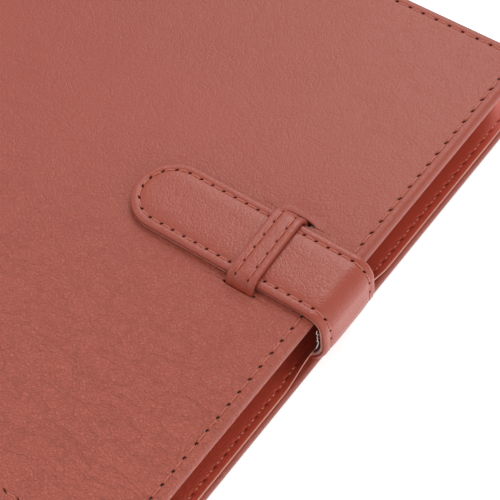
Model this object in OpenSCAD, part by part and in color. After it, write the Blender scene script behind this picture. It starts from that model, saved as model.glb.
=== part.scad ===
// Landscape scrapbook album, closed: two covers and a spine of leather over
// board, fourteen card leaves on screw posts, and a strap through a keeper.
// Millimetres. +X points to the fore-edge, +Y to the head, +Z up.
// The underside of the back cover is z = 0.

/* [Album] */
// width of the closed album, spine to fore-edge
album_w = 300; // [220:1:380]
// height of the covers along the spine
album_h = 227; // [150:1:320]
// thickness over both closed covers
album_t = 26.6; // [22:0.2:44]
// corner radius of the covers, seen from above
corner_r = 2.5; // [1:0.1:8]

/* [Covers] */
// thickness of the outer leather
skin_t = 0.8; // [0.6:0.1:1.2]
// thickness of the stiff boards
board_t = 3; // [2.4:0.1:4]
// thickness of the lining leather
lining_t = 0.8; // [0.4:0.1:1]
// radius of the leather where it turns over a board's edge
edge_r = 1.2; // [0.8:0.1:1.6]
// width of the outer leather turned in under the lining
turn_in = 12; // [8:0.5:20]
// thickness of that turned-in leather, pared thin
turn_in_t = 0.6; // [0.4:0.1:0.8]
// gap from a cover's edge to the cut edge of its lining
lining_inset = 1; // [0.3:0.1:3]
// gap between a board and the leather round it
board_fit = 0.1; // [0.05:0.05:0.3]

/* [Spine and its leather joints] */
// outer radius of the leather at the spine's two corners
joint_r = 5; // [4:0.5:8]
// flat leather between that corner and the board
joint_flat = 3; // [2:0.5:6]

/* [Stitching] */
// distance from a cover's edge to its stitches
stitch_margin = 3.6; // [2.5:0.1:10]
// distance from one stitch to the next
stitch_pitch = 5.34; // [3:0.02:8]
// length of a stitch on the surface
stitch_len = 3.9; // [2:0.1:6]
// thickness of the thread
thread_d = 0.45; // [0.3:0.05:0.6]
// width of the groove the thread lies in
groove_w = 0.8; // [0.6:0.1:1.2]
// depth of that groove in the outer leather
groove_depth = 0.5; // [0.35:0.05:0.6]
// depth of that groove in the lining
lining_groove = 0.2; // [0.1:0.05:0.3]

/* [Leaves] */
// thickness of a card leaf
leaf_t = 0.4; // [0.25:0.05:0.6]
// distance from the fore-edge of the covers to the leaves
leaf_fore_gap = 10; // [6:0.5:20]
// distance from the head and tail of the covers to the leaves
leaf_end_gap = 7; // [4:0.5:15]
// distance from the spine's lining to the bound edge of the leaves
leaf_spine_gap = 2; // [1:0.5:5]
// width of the top leaf's bound margin, up to its score line
leaf_margin = 22.4; // [20:0.1:30]
// extra margin of each leaf below, as folded sheets step outward
score_step = 0.7; // [0.6:0.05:1]
// half the open width of a score line
score_half = 0.15; // [0.1:0.05:0.3]

/* [Binding] */
// distance from the bound edge to the posts
post_inset = 10.4; // [8:0.1:12]
// distance between neighbouring posts
post_pitch = 80; // [60:1:108]
// outer diameter of a post's barrel
barrel_d = 5; // [4:0.1:6]
// diameter of a post's threaded shank
shank_d = 3.4; // [2.5:0.1:4]
// diameter of the post's flange and of the screw's head
head_d = 10; // [8:0.5:12]
// thickness of that flange and head
head_t = 1; // [0.8:0.1:1.5]
// width of the stiff strip on top of the leaves
strip_w = 20; // [16:0.5:24]
// thickness of that strip
strip_t = 1; // [0.8:0.1:1.5]
// clearance round the barrels
barrel_fit = 0.2; // [0.1:0.05:0.4]
// space between the screws and the front lining
head_room = 0.8; // [0.5:0.1:3]

/* [Strap] */
// width of the strap
strap_w = 27; // [15:0.1:40]
// thickness of the strap's outer leather
strap_face_t = 1.5; // [0.8:0.1:1.8]
// thickness of the strap's backing leather
strap_back_t = 1.1; // [0.6:0.1:1.4]
// distance from the fore-edge to the centre of the strap's rounded end
strap_reach = 63.8; // [30:0.1:120]
// how far the strap's middle stands out of the fore-edge
strap_out = 3.6; // [2.8:0.1:8]
// radius of the strap's middle where it turns over the front cover
strap_top_r = 6.2; // [4.5:0.1:8]
// length of the straight part at the fore-edge
strap_rise = 6; // [1:0.1:9]
// length of the strap glued inside the back cover
strap_hold = 24; // [12:1:60]
// distance from the strap's edge to its stitches
strap_margin = 3; // [1.6:0.1:6]
// distance from one of the strap's stitches to the next
strap_pitch = 4.5; // [3:0.05:8]
// clearance under and round the strap
strap_fit = 0.3; // [0.2:0.05:0.6]
// distance over which the lining rises beside the strap
lift_run = 16; // [8:1:30]

/* [Keeper] */
// width of the keeper band
keeper_w = 10.4; // [6:0.5:16]
// distance from the fore-edge to the middle of the keeper
keeper_at = 26.6; // [18:0.1:60]
// thickness of the keeper band
keeper_t = 1.5; // [0.8:0.1:1.8]
// length of each foot glued under the front leather
keeper_foot = 9; // [6:0.5:15]
// distance from the keeper's edge to its stitches
keeper_margin = 2.8; // [1.5:0.1:4]
// free space beside the strap inside the keeper, each side
keeper_room = 1.5; // [0.5:0.1:3]
// extra slit length left open beside the keeper
slit_extra = 1.8; // [0.5:0.1:3]
// clearance round the keeper's legs
keeper_fit = 0.15; // [0.1:0.05:0.3]

/* [Hidden] */
leather = [0.66, 0.38, 0.33];
lining_red = [0.55, 0.18, 0.15];
thread_red = [0.72, 0.44, 0.38];
board_grey = [0.55, 0.53, 0.5];
card_black = [0.09, 0.09, 0.1];
post_brass = [0.78, 0.64, 0.36];
strap_red = [0.68, 0.36, 0.3];

leaf_count = 14;
cover_t = skin_t + board_t + lining_t;
strap_t = strap_face_t + strap_back_t;
total_w = album_w + strap_out + strap_t / 2;
spine_x = -total_w / 2;
fore_x = spine_x + album_w;
joint_x = spine_x + joint_r + joint_flat;
cover_len = fore_x - joint_x;
half_h = album_h / 2;
inner_gap = album_t - 2 * cover_t;
stack_t = inner_gap - strip_t - head_t - head_room;
guard_t = (stack_t - leaf_count * leaf_t) / (leaf_count + 1);
leaf_pitch = leaf_t + guard_t;
bound_x = spine_x + cover_t + leaf_spine_gap;
post_x = bound_x + post_inset;
leaf_half = half_h - leaf_end_gap;
strip_z = cover_t + stack_t;
post_hole_d = barrel_d + 2 * barrel_fit;

// the strap's middle line, x from the fore-edge
strap_half = strap_w / 2;
top_z = album_t + strap_fit + strap_t / 2;
base_z = skin_t + board_t - strap_t / 2;
top_arc_x = strap_out - strap_top_r;
top_arc_z = top_z - strap_top_r;
low_r = top_arc_z - strap_rise - base_z;
low_arc_x = strap_out - low_r;
low_arc_z = base_z + low_r;
lift_r = low_r - strap_t / 2 - 0.1;
lift_start = 3;
base_fit = 0.2;
thread_gap = 0.02;
lip_gap = 0.02;

keeper_x = fore_x - keeper_at;
keeper_under = album_t + strap_fit + strap_t + strap_fit;
keeper_inner = strap_half + keeper_room;
keeper_in_r = 0.8;
foot_top = album_t - skin_t;
eps = 0.01;
round_fn = 48;
arc_fn = 96;
bead_fn = 8;

// ---- shared shapes -----------------------------------------------------

// a flat plate whose fore-edge corners are rounded, from the joint outward
module plate(inset, z0, z1, r) {
  len = cover_len - inset;
  half = half_h - inset;
  translate([joint_x, 0, z0])
    linear_extrude(z1 - z0) {
      translate([0, -half]) square([len - r, 2 * half]);
      translate([0, -half + r]) square([len, 2 * half - 2 * r]);
      for (s = [-1, 1])
        translate([len - r, s * (half - r)]) circle(r, $fn = round_fn);
    }
}

// what is cut away to round one long edge; the edge runs along +X
module edge_cut(len, r) {
  difference() {
    translate([-eps, -eps, -eps]) cube([len + 2 * eps, r + eps, r + eps]);
    translate([-1, r, r])
      rotate([0, 90, 0]) cylinder(h = len + 2, r = r, $fn = round_fn);
  }
}

// the outer leather of one cover, outside face down at z = 0
module cover_skin_shape() {
  hold = skin_t + board_fit;
  difference() {
    plate(0, 0, skin_t + board_t, corner_r);
    translate([-eps, 0, 0])
      plate(hold, skin_t, skin_t + board_t - turn_in_t, corner_r / 2);
    translate([-eps, 0, 0])
      plate(turn_in, skin_t, skin_t + board_t + eps, corner_r / 2);
    for (s = [-1, 1])
      translate([joint_x, s * half_h, 0])
        mirror([0, s > 0 ? 1 : 0, 0]) edge_cut(cover_len, edge_r);
    translate([fore_x, -half_h, 0])
      rotate([0, 0, 90]) edge_cut(album_h, edge_r);
    groove(0, groove_depth);
  }
}

// the board of one cover, its outside face at the skin
module cover_board_shape() {
  hold = skin_t + board_fit;
  plate(hold, skin_t, skin_t + board_t - turn_in_t, corner_r / 2);
  plate(turn_in + board_fit, skin_t, skin_t + board_t, corner_r / 2);
}

// the lining of one cover, its inside face at z = cover_t
module cover_lining_shape() {
  difference() {
    plate(lining_inset, skin_t + board_t, cover_t, corner_r);
    groove(cover_t - lining_groove, cover_t);
  }
}

// the groove that the perimeter thread lies in
module groove(z0, z1) {
  half = half_h - stitch_margin;
  end = fore_x - stitch_margin;
  lo = z0 - (z0 == 0 ? eps : 0);
  hi = z1 + (z0 == 0 ? 0 : eps);
  for (s = [-1, 1])
    translate([joint_x + stitch_margin, s * half - groove_w / 2, lo])
      cube([end - joint_x - stitch_margin + groove_w / 2, groove_w, hi - lo]);
  translate([end - groove_w / 2, -half, lo])
    cube([groove_w, 2 * half, hi - lo]);
}

// one stitch along +X, its lowest side at z = 0
module stitch(len) {
  translate([-len / 2, 0, thread_d / 2])
    rotate([0, 90, 0])
      rotate([0, 0, 180 / bead_fn]) cylinder(h = len, d = thread_d, $fn = bead_fn);
}

// the perimeter stitches of one cover at height z
module stitch_ring(z) {
  half = half_h - stitch_margin;
  end = fore_x - stitch_margin;
  across = round(2 * half / stitch_pitch);
  along = floor((end - joint_x - stitch_margin) / stitch_pitch);
  step = 2 * half / across;
  for (i = [0 : across - 1])
    translate([end, -half + (i + 0.5) * step, z])
      rotate([0, 0, 90]) stitch(stitch_len);
  for (s = [-1, 1])
    for (i = [0 : along - 1])
      translate([end - (i + 0.5) * stitch_pitch, s * half, z])
        stitch(stitch_len);
}

// one cover's thread, outside and inside
module cover_thread_shape() {
  stitch_ring(thread_gap);
  stitch_ring(cover_t - lining_groove + thread_gap);
}

// turns a cover drawn outside-down into the front cover
module as_front() {
  translate([0, 0, album_t]) mirror([0, 0, 1]) children();
}

// the three posts, or holes for them
module at_posts(z) {
  for (i = [-1 : 1])
    translate([post_x, i * post_pitch, z]) children();
}

// ---- back cover --------------------------------------------------------

module back_board() {
  color(board_grey)
    difference() {
      cover_board_shape();
      at_posts(skin_t - eps)
        cylinder(h = board_t + 2 * eps, d = post_hole_d, $fn = round_fn);
      at_posts(skin_t - eps)
        cylinder(h = head_t + 0.05, d = head_d + 2 * barrel_fit, $fn = round_fn);
      strap_cut(0);
    }
}

// the room that the strap takes out of the back cover
module strap_cut(z_extra) {
  len = strap_hold + base_fit;
  half = strap_half + base_fit;
  room = low_r + strap_t / 2 + base_fit;
  translate([fore_x + low_arc_x - len, -half, base_z - strap_t / 2 - z_extra])
    cube([len, 2 * half, strap_t + 1]);
  intersection() {
    translate([fore_x + low_arc_x - eps, -half, base_z - strap_t / 2 - base_fit])
      cube([album_w, 2 * half, album_t]);
    translate([fore_x + low_arc_x, half, low_arc_z])
      rotate([90, 0, 0]) cylinder(h = 2 * half, r = room, $fn = arc_fn);
  }
}

module back_skin() {
  color(leather)
    difference() {
      cover_skin_shape();
      strap_cut(0);
    }
}

// height that the lining is lifted by the strap, x from the fore-edge
function lift_at(x) =
  x <= low_arc_x - lift_start ? 0
  : x < low_arc_x ? 0.1 * (x - low_arc_x + lift_start) / lift_start
  : low_arc_z - sqrt(lift_r * lift_r - (x - low_arc_x) * (x - low_arc_x))
    - (skin_t + board_t);

lift_steps = 8;
lift_from = low_arc_x - lift_start;
function lift_x(i) =
  i == 0 ? lift_from
  : low_arc_x + (-lining_inset - low_arc_x) * (i - 1) / (lift_steps - 1);
function lift_profile(scale) = concat(
  [for (i = [0 : lift_steps]) [lift_x(i), skin_t + board_t + scale * lift_at(lift_x(i))]],
  [for (i = [lift_steps : -1 : 0]) [lift_x(i), cover_t + scale * lift_at(lift_x(i))]]
);

// places across the strap where the lining's rise is drawn, y and share
lift_bays = 5;
lift_flat = strap_half + base_fit;
lift_half = lift_flat + lift_run;
function lift_y(u) = lift_flat + lift_run * u;
function lift_share(u) = (1 + cos(180 * u)) / 2;
lift_rows = concat(
  [for (i = [lift_bays : -1 : 0]) [-lift_y(i / lift_bays), lift_share(i / lift_bays)]],
  [for (i = [0 : lift_bays]) [lift_y(i / lift_bays), lift_share(i / lift_bays)]]
);

// the part of the lining that the strap lifts, as one smooth rise
module lining_lip() {
  n = 2 * lift_steps + 2;
  rows = len(lift_rows);
  last = (rows - 1) * n;
  points = [
    for (row = lift_rows)
      for (p = lift_profile(row[1]))
        [fore_x + p[0], row[0], p[1]]
  ];
  polyhedron(
    points = points,
    faces = concat(
      [for (i = [0 : lift_steps - 1]) [n - 1 - i, n - 2 - i, i + 1, i]],
      [
        for (i = [0 : lift_steps - 1])
          [last + i, last + i + 1, last + n - 2 - i, last + n - 1 - i]
      ],
      [
        for (j = [0 : rows - 2])
          for (i = [0 : n - 1])
            [j * n + i, (j + 1) * n + (i + 1) % n, (j + 1) * n + i]
      ],
      [
        for (j = [0 : rows - 2])
          for (i = [0 : n - 1])
            [j * n + i, j * n + (i + 1) % n, (j + 1) * n + (i + 1) % n]
      ]
    )
  );
}

module back_lining() {
  half = lift_half + lip_gap;
  from = lift_from - lip_gap;
  color(lining_red) {
    difference() {
      cover_lining_shape();
      at_posts(skin_t)
        cylinder(h = cover_t, d = post_hole_d, $fn = round_fn);
      translate([fore_x + from, -half, 0])
        cube([-from + 1, 2 * half, cover_t + 1]);
    }
    lining_lip();
  }
}

module back_thread() {
  half = lift_half + stitch_len / 2;
  from = lift_from - lip_gap;
  color(thread_red)
    difference() {
      cover_thread_shape();
      translate([fore_x + from, -half, -1])
        cube([-from, 2 * half, cover_t + 2]);
    }
}

// ---- spine and the leather joints --------------------------------------

// an L of leather round the lower spine corner, between two depths
module joint_shape(t0, t1) {
  cx = spine_x + joint_r;
  translate([cx, half_h, joint_r])
    rotate([90, 0, 0])
      linear_extrude(album_h)
        intersection() {
          difference() {
            circle(joint_r - t0, $fn = arc_fn);
            circle(joint_r - t1, $fn = arc_fn);
          }
          translate([-joint_r, -joint_r]) square(joint_r);
        }
  translate([cx, -half_h, t0]) cube([joint_flat, album_h, t1 - t0]);
}

module back_joint_skin() {
  color(leather) joint_shape(0, skin_t);
}

module back_joint_lining() {
  color(lining_red) joint_shape(skin_t, skin_t + lining_t);
}

module front_joint_skin() {
  color(leather) as_front() joint_shape(0, skin_t);
}

module front_joint_lining() {
  color(lining_red) as_front() joint_shape(skin_t, skin_t + lining_t);
}

module spine_skin() {
  h = album_t - 2 * joint_r;
  inside = half_h - skin_t - board_fit;
  color(leather)
    difference() {
      translate([spine_x, -half_h, joint_r])
        cube([skin_t + board_t, album_h, h]);
      translate([spine_x + skin_t, -inside, joint_r - eps])
        cube([board_t - turn_in_t, 2 * inside, h + 2 * eps]);
      translate([spine_x + skin_t, -half_h + turn_in, joint_r - eps])
        cube([board_t + eps, album_h - 2 * turn_in, h + 2 * eps]);
    }
}

module spine_board() {
  h = album_t - 2 * joint_r;
  inside = half_h - skin_t - board_fit;
  middle = half_h - turn_in - board_fit;
  color(board_grey) {
    translate([spine_x + skin_t, -inside, joint_r])
      cube([board_t - turn_in_t, 2 * inside, h]);
    translate([spine_x + skin_t, -middle, joint_r])
      cube([board_t, 2 * middle, h]);
  }
}

module spine_lining() {
  h = album_t - 2 * joint_r;
  inside = half_h - lining_inset;
  color(lining_red)
    translate([spine_x + skin_t + board_t, -inside, joint_r])
      cube([lining_t, 2 * inside, h]);
}

// ---- front cover and keeper --------------------------------------------

// the two slits that the keeper's legs pass through
module keeper_slits() {
  y = keeper_inner - keeper_fit;
  wide = keeper_t + 2 * keeper_fit;
  for (s = [-1, 1])
    mirror([0, s < 0 ? 1 : 0, 0])
      translate([keeper_x - keeper_w / 2 - keeper_fit, y, album_t - skin_t - eps])
        cube([keeper_w + keeper_fit + slit_extra, wide, skin_t + 2 * eps]);
}

// the pockets in the board that hold the keeper's feet
module keeper_pockets() {
  y = keeper_inner - keeper_fit;
  deep = keeper_t + keeper_fit;
  for (s = [-1, 1])
    mirror([0, s < 0 ? 1 : 0, 0])
      translate([keeper_x - keeper_w / 2 - keeper_fit, y, foot_top - deep])
        cube([keeper_w + 2 * keeper_fit, keeper_foot + 2 * keeper_fit, deep + eps]);
}

module front_board() {
  color(board_grey)
    difference() {
      as_front() cover_board_shape();
      keeper_pockets();
    }
}

module front_skin() {
  color(leather)
    difference() {
      as_front() cover_skin_shape();
      keeper_slits();
    }
}

module front_lining() {
  color(lining_red) as_front() cover_lining_shape();
}

module front_thread() {
  color(thread_red) as_front() cover_thread_shape();
}

// half of the keeper's section, y to the right and z up
module keeper_half() {
  out = keeper_inner + keeper_t;
  out_r = keeper_in_r + keeper_t;
  top = keeper_under + keeper_t;
  square_top = out - out_r;
  translate([0, keeper_under]) square([square_top, keeper_t]);
  intersection() {
    translate([square_top, top - out_r])
      difference() {
        circle(out_r, $fn = round_fn);
        circle(keeper_in_r, $fn = round_fn);
      }
    translate([square_top, top - out_r]) square(out_r);
  }
  translate([keeper_inner, foot_top - keeper_t])
    square([keeper_t, top - out_r - foot_top + keeper_t]);
  translate([keeper_inner, foot_top - keeper_t])
    square([keeper_foot, keeper_t]);
}

module keeper() {
  color(leather)
    translate([keeper_x - keeper_w / 2, 0, 0])
      rotate([90, 0, 90])
        linear_extrude(keeper_w) {
          keeper_half();
          mirror([1, 0]) keeper_half();
        }
}

module keeper_thread() {
  top = keeper_under + keeper_t;
  run = 2 * (keeper_inner - keeper_in_r);
  n = round(run / stitch_pitch);
  step = run / n;
  color(thread_red)
    for (s = [-1, 1])
      for (i = [0 : n - 1])
        translate([
          keeper_x + s * (keeper_w / 2 - keeper_margin),
          -run / 2 + (i + 0.5) * step,
          top
        ])
          rotate([0, 0, 90]) stitch(stitch_len);
}

// ---- strap -------------------------------------------------------------

module strap_base() {
  color(strap_red)
    translate([fore_x + low_arc_x - strap_hold, -strap_half, base_z - strap_t / 2])
      cube([strap_hold, strap_w, strap_t]);
}

// the lower bend and rise of the strap between two offsets from its middle
module strap_bend_layer(o0, o1) {
  translate([fore_x + low_arc_x, strap_half, low_arc_z])
    rotate([90, 0, 0])
      linear_extrude(strap_w)
        intersection() {
          difference() {
            circle(low_r + o1, $fn = arc_fn);
            circle(low_r + o0, $fn = arc_fn);
          }
          translate([0, -low_r - strap_t]) square(low_r + strap_t);
        }
  translate([fore_x + strap_out + o0, -strap_half, low_arc_z])
    cube([o1 - o0, strap_w, strap_rise]);
}

module strap_bend_face() {
  color(strap_red)
    strap_bend_layer(strap_t / 2 - strap_face_t, strap_t / 2);
}

module strap_bend_back() {
  color(lining_red)
    strap_bend_layer(-strap_t / 2, strap_t / 2 - strap_face_t);
}

module strap_bend_thread() {
  arc = low_r * PI / 2;
  n = floor(arc / strap_pitch);
  color(thread_red)
    for (s = [-1, 1])
      for (i = [0 : n - 1])
        let (a = 90 - (i + 0.5) * 90 / n)
          translate([
            fore_x + low_arc_x + (low_r + strap_t / 2) * cos(a),
            s * (strap_half - strap_margin),
            low_arc_z - (low_r + strap_t / 2) * sin(a)
          ])
            rotate([0, a - 90, 0])
              mirror([0, 0, 1])
                if (fore_x + low_arc_x + low_r * cos(a) > fore_x)
                  stitch(stitch_len - 0.6);
}

// the turn over the front cover and the tongue between two offsets
module strap_tongue_layer(o0, o1) {
  end = strap_reach + top_arc_x;
  translate([fore_x + top_arc_x, strap_half, top_arc_z])
    rotate([90, 0, 0])
      linear_extrude(strap_w)
        intersection() {
          difference() {
            circle(strap_top_r + o1, $fn = arc_fn);
            circle(strap_top_r + o0, $fn = arc_fn);
          }
          square(strap_top_r + strap_t);
        }
  translate([fore_x - strap_reach, -strap_half, top_z + o0])
    cube([end, strap_w, o1 - o0]);
  intersection() {
    translate([fore_x - strap_reach, 0, top_z + o0])
      cylinder(h = o1 - o0, d = strap_w, $fn = arc_fn);
    translate([fore_x - strap_reach - strap_w, -strap_w, 0])
      cube([strap_w, 2 * strap_w, 2 * album_t]);
  }
}

module strap_tongue_face() {
  color(strap_red)
    strap_tongue_layer(strap_t / 2 - strap_face_t, strap_t / 2);
}

module strap_tongue_back() {
  color(lining_red)
    strap_tongue_layer(-strap_t / 2, strap_t / 2 - strap_face_t);
}

module strap_tongue_thread() {
  row = strap_half - strap_margin;
  run = strap_reach + top_arc_x;
  n = floor(run / strap_pitch);
  turns = round(PI * row / strap_pitch);
  hide = keeper_w / 2 + strap_fit;
  z = top_z + strap_t / 2;
  color(thread_red) {
    for (s = [-1, 1])
      for (i = [0 : n - 1])
        let (x = fore_x - strap_reach + (i + 0.5) * strap_pitch)
          if (abs(x - keeper_x) > hide + strap_pitch / 2)
            translate([x, s * row, z]) stitch(stitch_len - 0.6);
    for (i = [0 : turns - 1])
      let (a = 90 + (i + 0.5) * 180 / turns)
        translate([fore_x - strap_reach + row * cos(a), row * sin(a), z])
          rotate([0, 0, a + 90]) stitch(stitch_len - 0.9);
  }
}

// ---- binding and leaves ------------------------------------------------

module post_barrels() {
  top = strip_z + strip_t - barrel_fit;
  color(post_brass)
    difference() {
      union() {
        at_posts(skin_t) cylinder(h = head_t, d = head_d, $fn = round_fn);
        at_posts(skin_t) cylinder(h = top - skin_t, d = barrel_d, $fn = round_fn);
      }
      at_posts(skin_t + head_t)
        cylinder(h = album_t, d = shank_d + 0.1, $fn = round_fn);
    }
}

module post_screws() {
  reach = stack_t / 2 + strip_t;
  slot_w = 1.2;
  color(post_brass)
    difference() {
      union() {
        at_posts(strip_z + strip_t) cylinder(h = head_t, d = head_d, $fn = round_fn);
        at_posts(strip_z + strip_t - reach)
          cylinder(h = reach + eps, d = shank_d, $fn = round_fn);
      }
      at_posts(strip_z + strip_t + head_t / 2)
        translate([-slot_w / 2, -head_d, 0]) cube([slot_w, 2 * head_d, head_t]);
    }
}

module binding_strip() {
  color(leather)
    difference() {
      translate([bound_x, -leaf_half, strip_z])
        cube([strip_w, 2 * leaf_half, strip_t]);
      at_posts(strip_z - eps)
        cylinder(h = strip_t + 2 * eps, d = post_hole_d, $fn = round_fn);
    }
}

module guard_strips() {
  color(card_black)
    for (i = [0 : leaf_count])
      difference() {
        translate([bound_x, -leaf_half, cover_t + i * leaf_pitch])
          cube([strip_w, 2 * leaf_half, guard_t]);
        at_posts(cover_t + i * leaf_pitch - eps)
          cylinder(h = guard_t + 2 * eps, d = post_hole_d, $fn = round_fn);
      }
}

function leaf_z(k) = cover_t + guard_t + (k - 1) * leaf_pitch;
function score_x(k) = bound_x + leaf_margin + (leaf_count - k) * score_step;

module leaf_margins() {
  color(card_black)
    for (k = [1 : leaf_count])
      difference() {
        translate([bound_x, -leaf_half, leaf_z(k)])
          cube([score_x(k) - score_half - bound_x, 2 * leaf_half, leaf_t]);
        at_posts(leaf_z(k) - eps)
          cylinder(h = leaf_t + 2 * eps, d = post_hole_d, $fn = round_fn);
      }
}

// the part of leaf k that turns, from its score line to its free edge
module leaf_panel(k) {
  from = score_x(k) + score_half;
  color(card_black)
    translate([from, -leaf_half, leaf_z(k)])
      cube([fore_x - leaf_fore_gap - from, 2 * leaf_half, leaf_t]);
}

module leaf_01() leaf_panel(1);
module leaf_02() leaf_panel(2);
module leaf_03() leaf_panel(3);
module leaf_04() leaf_panel(4);
module leaf_05() leaf_panel(5);
module leaf_06() leaf_panel(6);
module leaf_07() leaf_panel(7);
module leaf_08() leaf_panel(8);
module leaf_09() leaf_panel(9);
module leaf_10() leaf_panel(10);
module leaf_11() leaf_panel(11);
module leaf_12() leaf_panel(12);
module leaf_13() leaf_panel(13);
module leaf_14() leaf_panel(14);

back_board();
back_skin();
back_lining();
back_thread();
back_joint_skin();
back_joint_lining();
spine_board();
spine_skin();
spine_lining();
front_joint_skin();
front_joint_lining();
front_board();
front_skin();
front_lining();
front_thread();
keeper();
keeper_thread();
strap_base();
strap_bend_face();
strap_bend_back();
strap_bend_thread();
strap_tongue_face();
strap_tongue_back();
strap_tongue_thread();
post_barrels();
post_screws();
binding_strip();
guard_strips();
leaf_margins();
leaf_01();
leaf_02();
leaf_03();
leaf_04();
leaf_05();
leaf_06();
leaf_07();
leaf_08();
leaf_09();
leaf_10();
leaf_11();
leaf_12();
leaf_13();
leaf_14();
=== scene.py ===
import bpy
import math
import numpy as np
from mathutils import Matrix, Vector


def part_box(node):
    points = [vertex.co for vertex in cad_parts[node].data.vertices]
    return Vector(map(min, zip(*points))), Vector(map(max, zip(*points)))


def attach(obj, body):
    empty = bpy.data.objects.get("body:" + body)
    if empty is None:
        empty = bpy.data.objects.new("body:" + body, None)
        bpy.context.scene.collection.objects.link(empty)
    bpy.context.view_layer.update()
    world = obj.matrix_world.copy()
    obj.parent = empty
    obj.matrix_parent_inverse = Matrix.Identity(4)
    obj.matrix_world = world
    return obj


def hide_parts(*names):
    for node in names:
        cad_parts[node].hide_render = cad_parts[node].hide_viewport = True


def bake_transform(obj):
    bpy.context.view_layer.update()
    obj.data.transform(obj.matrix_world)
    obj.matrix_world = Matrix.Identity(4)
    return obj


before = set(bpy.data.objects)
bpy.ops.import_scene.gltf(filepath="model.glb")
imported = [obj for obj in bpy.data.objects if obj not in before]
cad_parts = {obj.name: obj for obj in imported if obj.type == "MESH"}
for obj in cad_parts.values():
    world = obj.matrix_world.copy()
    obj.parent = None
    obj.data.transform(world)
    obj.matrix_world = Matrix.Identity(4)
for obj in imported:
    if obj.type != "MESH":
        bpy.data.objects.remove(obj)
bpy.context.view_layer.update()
mm = 0.001

# sizes taken from the frame
skinLo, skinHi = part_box("front_skin")
foreX, jointX = skinHi.x, skinLo.x
halfHigh = skinHi.y
topZ = skinHi.z
spineLo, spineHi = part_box("spine_skin")[0].z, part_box("spine_skin")[1].z
cornerR = spineLo                              # leather radius at the spine corners
coverLen = foreX - jointX
print("frame loaded")

# camera
camera = dict(aim=(0.11599, -0.00212, 0.0266), distance=0.58069, azimuth=42.947,
              elevation=54.071, roll=-8.037, lens=134.01)


def makeCamera():
    data = bpy.data.cameras.new("albumCamera")
    cam = bpy.data.objects.new("albumCamera", data)
    bpy.context.scene.collection.objects.link(cam)
    a, e = math.radians(camera["azimuth"]), math.radians(camera["elevation"])
    back = Vector((math.sin(a) * math.cos(e), -math.cos(a) * math.cos(e), math.sin(e)))
    cam.location = Vector(camera["aim"]) + back * camera["distance"]
    turn = (-back).to_track_quat("-Z", "Y").to_matrix().to_4x4()
    roll = Matrix.Rotation(math.radians(camera["roll"]), 4, "Z")
    cam.rotation_mode = "QUATERNION"
    cam.rotation_quaternion = (turn @ roll).to_quaternion()
    data.lens, data.sensor_width = camera["lens"], 36
    data.clip_start, data.clip_end = 0.01, 20
    bpy.context.scene.camera = cam


makeCamera()

# light and floor
studio = dict(worldStrength=0.8, keyPower=16.0, keySize=1.1, fillPower=4.0, fillSize=0.9,
              rimPower=1.6, rimSize=0.5, floorGlow=0.55, floorWide=4.0, floorDrop=0.0002)


def areaLight(name, place, aim, power, size):
    data = bpy.data.lights.new(name, "AREA")
    data.energy, data.size = power, size
    lamp = bpy.data.objects.new(name, data)
    bpy.context.scene.collection.objects.link(lamp)
    lamp.location = place
    lamp.rotation_mode = "QUATERNION"
    lamp.rotation_quaternion = (Vector(aim) - Vector(place)).to_track_quat("-Z", "Y")


def makeStudio():
    world = bpy.data.worlds.new("paleRoom")
    bpy.context.scene.world = world
    world.use_nodes = True
    back = world.node_tree.nodes["Background"]
    back.inputs["Color"].default_value = (1, 1, 1, 1)
    back.inputs["Strength"].default_value = studio["worldStrength"]
    areaLight("keyLight", (-0.15, 1.15, 1.25), (0.08, 0, 0.02), studio["keyPower"], studio["keySize"])
    areaLight("fillLight", (-0.9, -0.5, 0.9), (0, 0, 0), studio["fillPower"], studio["fillSize"])
    areaLight("rimLight", (0.9, -0.1, 0.35), (0.15, 0, 0.01), studio["rimPower"], studio["rimSize"])
    floor = gridPiece("paperFloor", studio["floorWide"], studio["floorWide"], 2, 2)
    floor.location.z = -studio["floorDrop"]
    paint = bpy.data.materials.new("paperSweep")
    paint.use_nodes = True
    shader = paint.node_tree.nodes["Principled BSDF"]
    shader.inputs["Base Color"].default_value = (0.92, 0.92, 0.92, 1)
    shader.inputs["Roughness"].default_value = 0.8
    shader.inputs["Emission Color"].default_value = (1, 1, 1, 1)
    shader.inputs["Emission Strength"].default_value = studio["floorGlow"]
    floor.data.materials.append(paint)
    view = bpy.context.scene.view_settings
    view.view_transform, view.look, view.exposure, view.gamma = "Standard", "None", 0, 1


def gridPiece(name, wide, deep, nx, ny):
    xs = np.linspace(-wide / 2, wide / 2, nx + 1)
    ys = np.linspace(-deep / 2, deep / 2, ny + 1)
    verts = [(x, y, 0) for y in ys for x in xs]
    corner = [j * (nx + 1) + i for j in range(ny) for i in range(nx)]
    faces = [(k, k + 1, k + nx + 2, k + nx + 1) for k in corner]
    return meshPiece(name, verts, faces)


def meshPiece(name, verts, faces):
    mesh = bpy.data.meshes.new(name)
    mesh.from_pydata([tuple(map(float, v)) for v in verts], [], [tuple(map(int, f)) for f in faces])
    mesh.validate()
    mesh.update()
    mesh.polygons.foreach_set("use_smooth", [True] * len(mesh.polygons))
    piece = bpy.data.objects.new(name, mesh)
    bpy.context.scene.collection.objects.link(piece)
    return piece


makeStudio()
print("camera and studio ready")


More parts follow.
